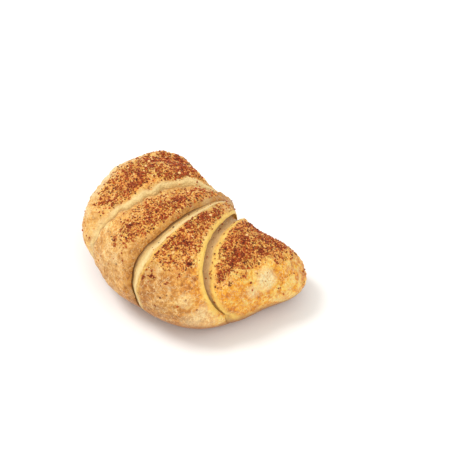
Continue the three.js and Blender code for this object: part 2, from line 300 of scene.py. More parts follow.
def places_on_roll():
    """Every point of the mesh on the plain roll, columns by section angles: the values of its column, its
    place, how wide its wrap is there, and how far it is from the lip that covers the wrap (gap) and from the
    lips that the wrap itself has at its start and its end, all measured round the pinch in millimetres."""
    angle = section_angles()
    wrap, share, out, down, nose = crust_columns()
    edges = wrap_edges(angle)
    start, end = edges[wrap], edges[wrap + 1]
    columns = (column[:, None] for column in (wrap, share, out, down, nose))
    wrap, share, out, down, nose, around = np.broadcast_arrays(*columns, angle[None])
    azimuth = start + (end - start) * share
    belly = BELLIES[wrap] * np.sin(math.pi * share)
    bare = roll_point(azimuth, around, belly)
    per_degree = np.radians(np.hypot(bare[..., 0] - PINCH[0], bare[..., 1] - PINCH[1]))
    from_start, from_end = (azimuth - start) * per_degree, (end - azimuth) * per_degree
    return {
        "wrap": wrap,
        "share": share,
        "out": out,
        "down": down,
        "nose": nose,
        "around": around,
        "angle": np.degrees(around),
        "azimuth": azimuth,
        "belly": belly,
        "bare": bare,
        "per_degree": per_degree,
        "width": (end - start) * per_degree,
        "gap": np.where(wrap < MIDDLE_WRAP, from_end, np.where(wrap > MIDDLE_WRAP, from_start, FAR)),
        "to_start": np.where((wrap > 0) & (wrap <= MIDDLE_WRAP), from_start, FAR),
        "to_end": np.where((wrap < WRAPS - 1) & (wrap >= MIDDLE_WRAP), from_end, FAR),
    }


# the bands of bare dough: their full width, the most of a wrap that one may take, and the least that shows
BAND_WIDTH = 5.0
BAND_SHARE = 0.4
LEAST_BAND = 0.3
# where each band is wider or narrower, by what share, and over how many degrees of section angle
BAND_SPREAD = np.array([0.5, 0.4, 0.0, 0.25, -0.6])
SPREAD_ANGLE = np.array([30, 26, 0, 38, 8])
SPREAD_REACH = 24
# where the raw dough ends, how gradually and how unevenly, as shares of the band's width, the strength, size
# and seed of the grains that make it uneven, and how much more gradually it ends low on the front
BAND_END = np.array([0.5, 0.8, 1.0, 0.84, 0.66])
BAND_FADE = np.array([0.4, 0.45, 0.1, 0.08, 0.12])
BAND_WANDER = np.array([0.2, 0.32, 0.0, 0.05, 0.06])
BAND_GRAINS = [(1, 2.4, 3), (0.5, 6, 4)]
BAND_BLUR = np.array([0.0, 1.4, 0.0, 0.0, 0.0])
BLUR_BELOW = 68
# the yellow edge where the egg wash starts: how strong, how wide, and how much wider low on the front
EDGE = np.array([0.0, 0.2, 0.0, 0.8, 1.0])
EDGE_WIDTH = np.array([0.15, 0.15, 0.15, 0.07, 0.15])
EDGE_WIDEN = np.array([0.45, 0.45, 0.45, 0.0, 0.45])
EDGE_OUT = 0.03
WIDEN_BELOW = 36
LOW_REACH = 25
# the bands' thin layers: how many there are to a millimetre away from the lip and along it, how far apart
# those of two wraps are drawn, and their seed
STREAKS_AWAY = 1.6
STREAKS_ALONG = 0.11
STREAKS_APART = 9.0
STREAKS_SEED = 5


def bare_bands(fields):
    """Where the bare dough of the bands shows. Off is the gap as a share of the band's width, raw falls from
    1 to 0 where the dough ends, yellow is a bell curve just past that, and the streaks are a grain drawn out
    along the lip."""
    wrap, angle, bare, gap = fields["wrap"], fields["angle"], fields["bare"], fields["gap"]
    band = np.minimum(BAND_WIDTH, BAND_SHARE * fields["width"])
    spread = np.exp(-(((angle - SPREAD_ANGLE[wrap]) / SPREAD_REACH) ** 2))
    off = np.where(gap < FAR / 2, gap / band / (1 + BAND_SPREAD[wrap] * spread), FAR)
    uneven = grains(bare, BAND_GRAINS)
    fade = BAND_FADE[wrap] * (1 + BAND_BLUR[wrap] * smooth((BLUR_BELOW - angle) / LOW_REACH))
    raw = 1 - smooth((off - BAND_END[wrap] + BAND_WANDER[wrap] * uneven) / fade + 0.5)
    edge = EDGE_WIDTH[wrap] + EDGE_WIDEN[wrap] * smooth((WIDEN_BELOW - angle) / LOW_REACH)
    yellow = EDGE[wrap] * np.exp(-(((off - BAND_END[wrap] - EDGE_OUT - edge) / edge) ** 2))
    along = fields["per_degree"] * angle
    layers = np.stack([gap * STREAKS_AWAY, along * STREAKS_ALONG, wrap * STREAKS_APART], -1)
    return {
        "narrow": band / BAND_WIDTH,
        "off": off,
        "raw": np.where(band > LEAST_BAND, raw, 0),
        "yellow": np.where(band > LEAST_BAND, yellow, 0),
        "streaks": grain(layers, 1.0, STREAKS_SEED),
    }


# large blisters under the egg wash: wrap, share of the way across it, section angle, radius and height in mm,
# and how pale (above 0) or brown (below 0) the skin over them is
BLISTERS = [
    (4, 0.43, 33, 4.2, 0.45, 1.3),
    (4, 0.60, 22, 2.2, 0.3, -0.3),
    (4, 0.30, 22, 2.6, 0.25, 0.6),
    (4, 0.70, 30, 2.4, 0.25, -0.5),
    (4, 0.66, 47, 1.9, 0.25, 0.2),
    (3, 0.40, 41, 1.7, 0.35, 0.5),
    (3, 0.53, 47, 1.5, 0.3, 0.5),
    (3, 0.34, 33, 2.9, 0.45, -0.4),
    (3, 0.50, 24, 3.0, 0.35, -0.3),
    (3, 0.74, 20, 2.6, 0.3, 0.4),
    (3, 0.84, 4, 4.5, 0.2, 0.5),
    (3, 0.66, -2, 4.0, 0.15, 0.5),
    (2, 0.40, 16, 2.4, 0.3, -0.4),
    (2, 0.62, 24, 2.0, 0.3, 0.5),
    (2, 0.52, 44, 1.6, 0.3, 0.5),
    (1, 0.60, 24, 2.2, 0.3, 0.5),
    (1, 0.26, 45, 5.5, 0.2, 0.8),
    (1, 0.44, 37, 3.5, 0.2, 0.5),
]
# where a blister's rim and ring lie and its skin ends, and how wide rim and ring are, as shares of its radius
BLISTER_RIM = 0.72
RIM_SHARE = 0.4
BLISTER_SKIN = 0.85
BLISTER_RING = 0.95
RING_SHARE = 0.14
BLISTER_GRAINS = [(0.12, 1.6, 8)]
# the washed crust's fine relief: the height in mm, size and seed of each kind, and the level it lies round
WAVES = [(0.35, 6, 1)]
BUBBLES = (0.45, 3.4, 11)
PIMPLES = (0.42, 1.8, 21)
WRINKLE_GRAINS = [(1, 2.9, 2), (0.5, 1.5, 7)]
WRINKLE_HEIGHT = 0.55
RELIEF_LEVEL = 0.5


def baked_relief(bare):
    """The washed crust's own relief in millimetres: waves, bubbles, pimples and winding wrinkles, which are 1
    minus the size of a grain, and blisters, which are bell curves round their rim and their middle. With it
    come how pale or brown the skin over the blisters is, and a thin ring round each."""
    relief = grains(bare, WAVES)
    for height, spacing, seed in (BUBBLES, PIMPLES):
        relief = relief + height * domes(bare, spacing, seed)
    relief = relief + WRINKLE_HEIGHT * (1 - np.abs(grains(bare, WRINKLE_GRAINS))) - RELIEF_LEVEL
    crooked = grains(bare, BLISTER_GRAINS)
    large, skin, ring = 0, 0, 0
    for wrap, share, degrees, radius, height, paleness in BLISTERS:
        spot = place_on_wrap(wrap, share, degrees)
        away = np.linalg.norm(bare - spot, axis=-1) / radius + crooked
        large = large + height * np.exp(-(((away - BLISTER_RIM) / RIM_SHARE) ** 2))
        large = large + 0.5 * height * np.exp(-(away**2) * 2)
        skin = skin + paleness * np.exp(-((away / BLISTER_SKIN) ** 4))
        ring = ring + np.exp(-(((away - BLISTER_RING) / RING_SHARE) ** 2))
    return {"relief": relief + large, "skin": skin, "ring": np.minimum(ring, 1)}


# over how many mm each lip rounds off, at most what share of its wrap that takes, and how far down it dips
LIP_ROUND = np.array([1.6, 1.3, 2.8, 1.2])
LIP_SHARE = 0.2
LIP_DIP = np.array([0.5, 0.3, 0.9, 0.35])
# how far each wrap's middle stands out, and how deep and wide the groove is where a band ends
PILLOW = 0.8
GROOVE_DEPTH = 0.3
GROOVE_SHARE = 0.1
# a band's relief: the heights in mm of its streaks and its yellow edge, and the height, size and seed of its
# waves
STREAK_HEIGHT = 0.15
EDGE_HEIGHT = 0.22
BAND_WAVES = [(0.2, 3.5, 6)]
# how little of the fine relief is left at a lip, and over how many mm it comes back
LIP_RELIEF = 0.25
LIP_RELIEF_OVER = 2.5
# how relief fades with the sine of the section angle, and how little of it is left under the foot
RELIEF_SLOPE = 1.3
RELIEF_AT_SIDE = 0.75
FOOT_RELIEF = 0.04


def crust_points(fields):
    """The plain roll pushed out or in along its normal. Lumps, a pillow on each wrap and the fine relief push
    it out. The dip of a lip, a quarter circle, and the step down to a band push it in. All of it fades out
    towards the foot, and nothing goes below the tray."""
    wrap, lip, off = fields["wrap"], fields["lip"], fields["off"]
    narrow, raw, yellow = fields["narrow"], fields["raw"], fields["yellow"]
    bare, down, nose = fields["bare"], fields["down"], fields["nose"]
    fade = np.maximum(smooth(RELIEF_SLOPE * np.sin(fields["around"]) + RELIEF_AT_SIDE), FOOT_RELIEF)
    step = STEP_DEPTH[wrap] * (1 - smooth((off - STEP_START[wrap]) / (STEP_END[wrap] - STEP_START[wrap])))
    step = step + GROOVE_DEPTH * np.exp(-(((off - BAND_END[wrap]) / GROOVE_SHARE) ** 2))
    own = np.clip(np.where(fields["to_start"] < fields["to_end"], wrap - 1, wrap), 0, len(LIPS) - 1)
    over = np.clip(1 - lip / np.minimum(LIP_ROUND[own], LIP_SHARE * fields["width"]), 0, 1)
    dip = LIP_DIP[own] * (1 - np.sqrt(1 - over**2))
    depth = np.where((down > 0) & (nose == 0), down, dip + down + step) * narrow
    azimuth = fields["azimuth"] + fields["out"] * narrow * fade / fields["per_degree"]
    rise = lumps(bare) + PILLOW * narrow * np.sin(math.pi * fields["share"])
    on_band = grains(bare, BAND_WAVES, STREAK_HEIGHT * fields["streaks"]) + EDGE_HEIGHT * yellow
    fine = fields["relief"] * (1 - raw) + on_band * np.maximum(raw, yellow)
    push = (rise + fine * np.minimum(1, LIP_RELIEF + lip / LIP_RELIEF_OVER) - depth) * fade
    points = roll_point(azimuth, fields["around"], fields["belly"])
    points = points + roll_normal(azimuth, fields["around"], fields["belly"]) * push[..., None]
    points[..., 2] = np.maximum(points[..., 2], 0)
    return points


fields = places_on_roll()
fields["lip"] = np.minimum(fields["to_start"], fields["to_end"])
fields.update(bare_bands(fields))
fields.update(baked_relief(fields["bare"]))
points = crust_points(fields)


# How far down the front and down the bay side the spice reaches, as section angles, and how thick it lies. A
# table's rows are for the wraps, and its columns for five places across each, from its start to its end.
SPICE_FRONT = np.array([
    [72, 70, 66, 64, 62],
    [70, 62, 37, 30, 26],
    [58, 43, 34, 42, 58],
    [84, 36, 45, 42, 62],
    [34, 47, 55, 58, 60],
])
SPICE_BAY = np.array([118, 124, 122, 124, 132])
SPICE_DEPTH = np.array([
    [1.0, 1.0, 1.0, 1.0, 0.9],
    [1.2, 1.1, 1.0, 1.2, 0.6],
    [0.25, 0.7, 0.85, 0.95, 0.45],
    [0.1, 1.0, 1.1, 1.0, 0.12],
    [0.95, 1.1, 1.05, 1.0, 0.9],
])
# over how many degrees the spice thins out down the front and down the bay side
FRONT_FADE = 24
BAY_FADE = 40
# the strengths, sizes and seeds of the grains that make its border wander, in degrees, and its cover uneven
RAGGED_GRAIN = (2.4, 35)
SPICE_WANDER = [(9, 11, 31), (8, 4, 32), (4, *RAGGED_GRAIN)]
SPICE_UNEVEN = [(0.6, 6.5, 33), (0.5, 2.6, 34), (0.45, 1.4, 37)]
CLOT_GRAINS = [(1, 5, 36), (0.5, *RAGGED_GRAIN)]
# how much of the spice stays off each band, where it starts and ends on the end wraps and how gradually, as
# shares of them, and how little of it lies at a lip, and from where to where it comes back, in mm
OFF_BAND = np.array([0.25, 0.93, 0.93, 0.93, 0.93])
SPICED_FROM = 0.3
SPICED_TO = 0.93
TIP_FADE = 0.2
LIP_SPICE = 0.12
LIP_SPICE_FROM = 0.6
LIP_SPICE_OVER = 1.6
# clots, where wet spice ran together, wrap by wrap: share of the way across it, section angle, radius in mm
CLOTS = [
    [(0.70, 101, 3.2), (0.86, 88, 2.0)],
    [
        (0.04, 106, 2.8), (0.06, 88, 2.6), (0.10, 102, 3.0), (0.14, 98, 3.4), (0.20, 82, 3.0),
        (0.20, 112, 3.4), (0.32, 104, 2.6), (0.40, 84, 1.8), (0.62, 112, 3.6), (0.70, 70, 2.2),
        (0.84, 52, 1.6),
    ],
    [
        (0.30, 72, 1.8), (0.38, 47, 0.8), (0.45, 38, 1.5), (0.48, 54, 1.8), (0.52, 33, 0.7), (0.62, 67, 2.2),
        (0.70, 94, 3.4), (0.84, 74, 1.6),
    ],
    [
        (0.12, 52, 0.8), (0.20, 27, 0.9), (0.33, 33, 1.2), (0.34, 78, 2.4), (0.40, 92, 4.2), (0.53, 31, 0.6),
        (0.62, 64, 2.4), (0.80, 50, 1.5),
    ],
    [
        (0.12, 46, 2.3), (0.17, 37, 1.3), (0.20, 58, 2.0), (0.26, 67, 2.8), (0.30, 80, 2.6), (0.45, 66, 2.0),
        (0.52, 84, 2.4), (0.66, 76, 2.8),
    ],
]


def across_wrap(table, wrap, share):
    """A table's row for the wrap, blended between its five places by straight lines."""
    at = np.clip(share, 0, 1) * (table.shape[1] - 1)
    low = np.minimum(at.astype(int), table.shape[1] - 2)
    return table[wrap, low] + (table[wrap, low + 1] - table[wrap, low]) * (at - low)


def spice_cover(fields):
    """How thickly the spice lies and how much of it has clotted, 0 to 1. It thins out down both sides along a
    wandering line, is broken up by three grains, and keeps off the bands, the lips and the tips. Clots are
    soft round spots with a ragged edge, and more come where a slow grain is high."""
    angle, share, wrap, bare = fields["angle"], fields["share"], fields["wrap"], fields["bare"]
    ragged, wander = grain(bare, *RAGGED_GRAIN), grains(bare, SPICE_WANDER)
    over = smooth((angle - across_wrap(SPICE_FRONT, wrap, share) + wander) / FRONT_FADE + 0.45)
    over = over * smooth((SPICE_BAY[wrap] + FRONT_FADE - angle - wander) / BAY_FADE)
    off_band = 1 - smooth(fields["raw"] * 2.2) * OFF_BAND[wrap]
    off_band = off_band * (1 - 0.9 * fields["yellow"])
    off_lip = LIP_SPICE + (1 - LIP_SPICE) * smooth((fields["lip"] - LIP_SPICE_FROM) / LIP_SPICE_OVER)
    from_tip = np.where(wrap == 0, share - SPICED_FROM, np.where(wrap == WRAPS - 1, SPICED_TO - share, 1))
    cover = over * off_band * off_lip * smooth(from_tip / TIP_FADE) * across_wrap(SPICE_DEPTH, wrap, share)
    uneven = smooth(grains(bare, SPICE_UNEVEN, 0.56))
    clot = smooth((grains(bare, CLOT_GRAINS) - 0.55) / 0.5) * cover * 0.7
    for clot_wrap, spots in enumerate(CLOTS):
        for clot_share, degrees, radius in spots:
            away = np.linalg.norm(bare - place_on_wrap(clot_wrap, clot_share, degrees), axis=-1) / radius
            clot = np.maximum(clot, smooth((1.15 - away + 0.45 * ragged) / 0.8))
    clot = clot * off_band * off_lip
    return np.clip(cover * (0.36 + 0.68 * uneven) + 0.6 * clot, 0, 1), clot


fields["spice"], fields["clot"] = spice_cover(fields)


# how golden, rather than peach, and how deeply browned each wrap is at the same five places
WARMTH = np.array([
    [0.3, 0.3, 0.3, 0.3, 0.3],
    [0.3, 0.3, 0.4, 0.5, 0.8],
    [0.3, 0.3, 0.35, 0.35, 0.5],
    [0.3, 0.3, 0.25, 0.35, 0.9],
    [1.0, 1.1, 1.1, 1.3, 1.3],
])
BROWNING = np.array([
    [0.4, 0.4, 0.3, 0.3, 0.3],
    [0.5, 0.4, 0.4, 0.4, 0.65],
    [0.45, 0.62, 0.62, 0.5, 0.75],
    [1.0, 1.05, 1.0, 0.6, 0.1],
    [0.4, 0.2, 0.1, 0.35, 0.4],
])
# painted shade, brown in the crack under each lip and dull deep in each band, and a painted highlight on each
# band's crest: how strong they are, and where they lie or end, as shares of the band's width
CRACK_SHADE = np.array([0.6, 1.0, 0.0, 0.8, 0.3])
CRACK_SHADE_SHARE = 0.14
CREST_HIGHLIGHT = np.array([0.5, 0.8, 0.0, 1.0, 0.0])
CREST_HIGHLIGHT_AT = np.array([0.55, 0.6, 0.0, 0.6, 0.0])
CREST_HIGHLIGHT_SHARE = 0.2
SHADE_UNTIL = np.array([0.05, 0.03, 0.0, 0.1, 0.58])
SHADE_FADE = np.array([0.3, 0.25, 0.1, 0.25, 0.12])
# the wraps with a browned lip, a golden lip with a painted highlight along it and a yellow foot, and how far
# in from its lip the brown or the gold and its painted highlight fade out, from and over, in mm
TAN_WRAP = 2
RIM_WRAP = 3
NEAR_WRAP = 4
TAN_FROM, TAN_OVER = 0.8, 4.5
RIM_FROM, RIM_OVER = 0.5, 1.6
# how strong the painted brown shade under the middle wrap's far lip is, and how wide, in mm
LIP_SHADE = 0.6
LIP_SHADE_WIDTH = 0.7
# the section angle past which the foot lay on the tray, and over how many degrees up from the foot's edge the
# tray's brown and the yellow foot fade out and the lips' colours, the painted highlight on the golden lip and
# the bands' painted shade come in
TRAY_ANGLE = 200
FOOT_EDGE = 2
TRAY_OVER = 24
YELLOW_OVER = 18
LIP_OVER = 12
SHADE_OVER = 26
# the strengths, sizes and seeds of the grains of warmth, browning and tray brown, and of the pale patches
WARM_GRAINS = [(0.25, 14, 41)]
BROWN_GRAINS = [(0.25, 9, 42)]
PALE_GRAINS = [(1, 7, 43)]
TRAY_GRAINS = [(5, 5, 44)]


def crust_values(fields):
    """What the material reads at each point, 0 to 1. Side is the section angle up from the nearer side, and
    every border is a smooth() or a bell curve of the distance from it."""
    wrap, share, angle, bare = fields["wrap"], fields["share"], fields["angle"], fields["bare"]
    off, raw, skin = fields["off"], fields["raw"], fields["skin"]
    side = np.minimum(angle, 180 - angle)
    near_lip = smooth(side / LIP_OVER)
    on_tray = smooth(grains(bare, TRAY_GRAINS, -side - FOOT_EDGE) / TRAY_OVER)
    on_tray = on_tray + np.where(angle > TRAY_ANGLE, 1, 0)
    # painted shade: a brown line in the crack at the foot of each lip, and under the middle wrap's far lip
    seam = CRACK_SHADE[wrap] * np.exp(-((off / CRACK_SHADE_SHARE) ** 2))
    shade_under_lip = LIP_SHADE * np.exp(-((fields["to_start"] / LIP_SHADE_WIDTH) ** 2))
    shade_under_lip = np.where(wrap == MIDDLE_WRAP, shade_under_lip, 0) * near_lip
    # painted shade deep in each band, under the lip that covers it
    shade = 1 - smooth((off - SHADE_UNTIL[wrap]) / SHADE_FADE[wrap])
    low_dough = 0.8 * raw * (1 - smooth((side - FOOT_EDGE) / YELLOW_OVER))
    low_dough = np.where(wrap == NEAR_WRAP, low_dough, 0)
    # a painted highlight along the golden lip's edge, over its golden colour
    rim = np.where(wrap == RIM_WRAP, 1 - smooth((fields["to_end"] - RIM_FROM) / RIM_OVER), 0)
    tan = np.where(wrap == TAN_WRAP, 1 - smooth((fields["to_end"] - TAN_FROM) / TAN_OVER), 0)
    # painted shade on the crust just past the band of the wrap with the golden lip
    shoulder_shade = np.where(wrap == RIM_WRAP, np.exp(-(((off - 1.2) / 0.25) ** 2)), 0)
    warm = grains(bare, WARM_GRAINS, across_wrap(WARMTH, wrap, share))
    # real browning, darker in the relief's hollows and lighter on its bumps as painted shade and highlight
    browning = grains(bare, BROWN_GRAINS, across_wrap(BROWNING, wrap, share)) - 0.4 * fields["relief"]
    # browner under brown blister skin and at the tan lip, plus the painted shade past the band
    browning = browning - 0.3 * np.minimum(skin, 0) + 0.3 * tan + 0.3 * shoulder_shade
    inland = np.where(wrap == NEAR_WRAP, 0.4 * smooth((0.75 - share) / 0.2), 1)
    pale = smooth((grains(bare, PALE_GRAINS) - 0.25) / 0.5) * 0.6 * inland + skin
    return {
        "warm": np.clip(warm, 0, 1),
        "browning": np.clip(browning, 0, 1),
        "pale": np.clip(pale, 0, 1),
        "ring": fields["ring"],
        "tan": tan,
        "rim": rim * near_lip,
        "spice": fields["spice"],
        "clot": fields["clot"],
        "raw": raw,
        "streaks": 0.5 + 0.5 * fields["streaks"],
        # painted highlight on the crest of each band
        "crest": CREST_HIGHLIGHT[wrap] * np.exp(-(((off - CREST_HIGHLIGHT_AT[wrap]) / CREST_HIGHLIGHT_SHARE) ** 2)),
        # painted shade deep in each band, faded out low on the sides
        "deep": np.where(off < 1, shade, 0) * smooth((side + FOOT_EDGE) / SHADE_OVER),
        "yellow": np.maximum(fields["yellow"], low_dough),
        # painted brown shade in the cracks under the lips
        "seam": np.maximum(seam, shade_under_lip),
        "tray": np.clip(on_tray, 0, 1),
    }


def new_mesh(name, vertices, corners, sizes, values):
    """A smooth mesh from its vertices in metres, its faces' corners in a row, how many each face has, and the
    values at every vertex that the material reads."""
    mesh = bpy.data.meshes.new(name)
    mesh.vertices.add(len(vertices))
    mesh.vertices.foreach_set("co", vertices.astype(np.float32).ravel())
    mesh.loops.add(len(corners))
    mesh.loops.foreach_set("vertex_index", corners.astype(np.int32))
    mesh.polygons.add(len(sizes))
    mesh.polygons.foreach_set("loop_start", (np.cumsum(sizes) - sizes).astype(np.int32))
    mesh.update(calc_edges=True)
    mesh.validate()
    mesh.shade_smooth()
    for key, value in values.items():
        attribute = mesh.attributes.new(key, "FLOAT", "POINT")
        attribute.data.foreach_set("value", value.astype(np.float32))
    return mesh


def put_in_scene(name, data):
    """A new object with this mesh, camera or light, in the scene."""
    made = bpy.data.objects.new(name, data)
    bpy.context.scene.collection.objects.link(made)
    return made


def grid_mesh(name, grid, ends, values):
    """A closed mesh of four-sided faces between neighbouring columns and rows, with a fan at each end. The
    values become its attributes, and an end takes the mean of the column next to it."""
    columns, rows = grid.shape[:2]
    vertices = np.vstack([grid.reshape(-1, 3), ends]) * MM
    at = np.arange(columns * rows).reshape(columns, rows)
    after = np.roll(at, -1, axis=1)
    quads = np.stack([at[:-1], at[1:], after[1:], after[:-1]], -1).reshape(-1, 4)
    first = np.stack([np.full(rows, columns * rows), at[0], after[0]], -1)
    last = np.stack([at[-1], np.full(rows, columns * rows + 1), after[-1]], -1)
    corners = np.concatenate([quads.ravel(), first.ravel(), last.ravel()])
    sizes = np.concatenate([np.full(len(quads), 4), np.full(2 * rows, 3)])
    with_ends = {key: np.append(value, [value[0].mean(), value[-1].mean()]) for key, value in values.items()}
    return new_mesh(name, vertices, corners, sizes, with_ends)


values = crust_values(fields)
ends = np.stack([points[0].mean(0), points[-1].mean(0)])
crust = put_in_scene("crust", grid_mesh("crust", points, ends, values))


def linear(red, green, blue):
    """A colour given in 0 to 255 as seen on a screen, as the linear colour that a shader takes."""
    seen = np.array([red, green, blue]) / 255
    light = np.where(seen <= 0.04045, seen / 12.92, ((seen + 0.055) / 1.055) ** 2.4)
    return (*light.tolist(), 1.0)


def new_material(name):
    """An empty node material with its shader, and a function that adds a node and sets its inputs: i0, i1 and
    so on are sockets by number, and a value that is itself a socket is linked."""
    material = bpy.data.materials.new(name)
    material.use_nodes = True
    tree = material.node_tree

    def node(kind, settings=(), **inputs):
        """The first output of a new node of this kind."""
        made = tree.nodes.new(kind)
        for key, value in dict(settings).items():
            setattr(made, key, value)
        for key, value in inputs.items():
            socket = made.inputs[int(key[1:])] if key[0] == "i" and key[1:].isdigit() else made.inputs[key]
            if isinstance(value, bpy.types.NodeSocket):
                tree.links.new(value, socket)
            else:
                socket.default_value = value
        return made.outputs[0]

    return material, tree.nodes["Principled BSDF"], tree, node


def mixed(node, share, one, other):
    """Colour one where the share is 0 and the other where it is 1."""
    made = node("ShaderNodeMix", {"data_type": "RGBA"}, i0=share, i6=one, i7=other)
    return made.node.outputs[2]


def ranged(node, value, low, high, out_low=0.0, out_high=1.0):
    """The value stretched so that low and high become the two out values, and held between them."""
    return node("ShaderNodeMapRange", {}, i0=value, i1=low, i2=high, i3=out_low, i4=out_high)


def times(node, one, other):
    """One value times another."""
    return node("ShaderNodeMath", {"operation": "MULTIPLY"}, i0=one, i1=other)


def plus(node, one, other):
    """One value plus another."""
    return node("ShaderNodeMath", {"operation": "ADD"}, i0=one, i1=other)


def ramp(node, value, stops):
    """Colours at stated places from 0 to 1, blended between neighbours."""
    made = node("ShaderNodeValToRGB", {}, Fac=value).node
    while len(made.color_ramp.elements) < len(stops):
        made.color_ramp.elements.new(1)
    for element, (place, colour) in zip(made.color_ramp.elements, stops):
        element.position = place
        element.color = colour
    return made.outputs[0]


# the egg-washed crust, from light to dark, and what lies over it
PEACH_CRUST = [
    (0.0, linear(250, 216, 154)),
    (0.25, linear(240, 194, 126)),
    (0.5, linear(216, 163, 92)),
    (0.8, linear(194, 136, 62)),
    (1.0, linear(176, 112, 46)),
]
GOLDEN_CRUST = [
    (0.0, linear(255, 215, 112)),
    (0.25, linear(252, 181, 56)),
    (0.5, linear(238, 150, 32)),
    (0.8, linear(208, 116, 30)),
    (1.0, linear(160, 84, 22)),
]
PALE_CRUST = linear(255, 232, 176)
# painted shade along creases
CREASE_SHADE_BROWN = linear(194, 134, 64)
# the golden lip's colour, brightened as a painted highlight
RIM_GOLD_HIGHLIGHT = linear(255, 213, 108)
RIM_TAN = linear(204, 146, 66)
TRAY_BROWN = linear(176, 112, 52)
# spice dust baked into the wash, more orange or more gold, with specks and clots of spice
STAIN = [
    (0.0, linear(254, 206, 126)),
    (0.35, linear(244, 174, 76)),
    (0.65, linear(232, 146, 56)),
    (0.9, linear(198, 102, 38)),
    (1.0, linear(164, 68, 22)),
]
GOLD_STAIN = [
    (0.0, linear(252, 212, 124)),
    (0.5, linear(230, 170, 70)),
    (1.0, linear(180, 106, 36)),
]
FLECK = [(0.0, linear(78, 24, 4)), (0.5, linear(140, 52, 12)), (1.0, linear(206, 110, 42))]
CLOT = [(0.0, linear(170, 72, 28)), (0.5, linear(132, 42, 16)), (1.0, linear(88, 22, 10))]
# the bare dough of the bands
DOUGH = [(0.0, linear(210, 162, 90)), (0.5, linear(238, 197, 124)), (1.0, linear(253, 224, 154))]
# painted shade on the bare dough deep under a lip
PAINTED_SHADE_DOUGH = linear(206, 160, 106)
# painted highlight on a band's crest
CREST_HIGHLIGHT_CREAM = linear(253, 227, 164)
YELLOW_EDGE = linear(250, 206, 102)
# painted shade, brown, in the cracks under the lips
CRACK_SHADE_BROWN = linear(138, 84, 32)
# the crust's noises: how fine, per metre, their detail and roughness, and the range stretched to 0 to 1
CRUST_NOISES = {
    "mottle": (320, 3, 0.55, 0.38, 0.62),
    "blotch": (900, 3, 0.6, 0.38, 0.62),
    "speckle": (1900, 2, 0.5, 0.36, 0.64),
    "drift": (170, 2, 0.5, 0.4, 0.56),
}
CREASE_NOISE = (380, 3, 0.6)
BENDING_NOISE = (1300, 2, 0.5)
PORES = (1900, 3, 0.6)
PITS = (750, 3, 0.6)
PORE_DEPTH = 0.7 * MM
# the levels of the crease noise that a painted highlight line and a painted shade line follow, and how wide
# the lines are
HIGHLIGHT_LINE = 0.5
SHADE_LINE = 0.465
LINE_WIDTH = 0.018
# the flecks' two spacings in mm and how much of the cover each takes, how far they are bent, and from where
# to where a fleck thins out, as shares of the spacing
FLECK_CELLS = [(1.2, 0.7), (0.8, 0.75)]
FLECK_BEND = (0.9 * MM,) * 3
FLECK_CORE = 0.3
FLECK_RADIUS = 0.42
CRUST_ROUGHNESS = 0.39
CRUST_SPECULAR = 0.37


def along_line(node, value, level):
    """1 along the winding line where the value passes the level, and 0 off it."""
    off = node("ShaderNodeMath", {"operation": "ABSOLUTE"}, i0=plus(node, value, -level))
    return ranged(node, off, 0.0, LINE_WIDTH, 1.0, 0.0)


def washed_colour(node, read):
    """The egg-washed crust: peach or golden, by a mottle, a fine grain and the browning with its painted
    shade and highlight, pale on blisters, with a painted highlight line and a painted shade line along
    winding creases, tan at one lip and golden with a painted highlight at another."""
    patches = times(node, read["mottle"], ranged(node, read["warm"], 0, 1, 0.3, 0.46))
    tone = plus(node, patches, times(node, read["soft"], 0.44))
    # the browning carries painted shade in the relief's hollows and past the band
    tone = plus(node, tone, ranged(node, read["browning"], 0, 1, -0.3, 0.5))
    colour = mixed(node, read["warm"], ramp(node, tone, PEACH_CRUST), ramp(node, tone, GOLDEN_CRUST))
    pale = times(node, read["pale"], ranged(node, read["fine"], 0.2, 0.8, 1.0, 0.55))
    ring = times(node, read["ring"], times(node, read["blotch"], 0.5))
    tan = times(node, read["tan"], ranged(node, read["soft"], 0.1, 0.9, 0.65, 0.05))
    colour = mixed(node, pale, colour, PALE_CRUST)
    colour = mixed(node, ring, colour, PALE_CRUST)
    # a painted highlight line and, beside it, a painted shade line along the crease noise
    colour = mixed(node, times(node, along_line(node, read["crease"], HIGHLIGHT_LINE), 0.8), colour, PALE_CRUST)
    colour = mixed(node, times(node, along_line(node, read["crease"], SHADE_LINE), 0.4), colour, CREASE_SHADE_BROWN)
    colour = mixed(node, tan, colour, RIM_TAN)
    # the golden lip with its painted highlight
    return mixed(node, times(node, read["rim"], 0.9), colour, RIM_GOLD_HIGHLIGHT)


def flecks(node, read, spacing, share):
    """1 on small crooked spots, one for each random place, as many of them as the cover and the share ask."""
    cells = node("ShaderNodeTexVoronoi", {}, Vector=read["bent"], Scale=1 / (spacing * MM)).node
    chance = node("ShaderNodeSeparateColor", {}, Color=cells.outputs["Color"]).node.outputs[0]
    wanted = times(node, read["spice"], share)
    there = ranged(node, plus(node, wanted, times(node, chance, -1.0)), 0.0, 0.08)
    return times(node, there, ranged(node, cells.outputs["Distance"], FLECK_RADIUS, FLECK_CORE))


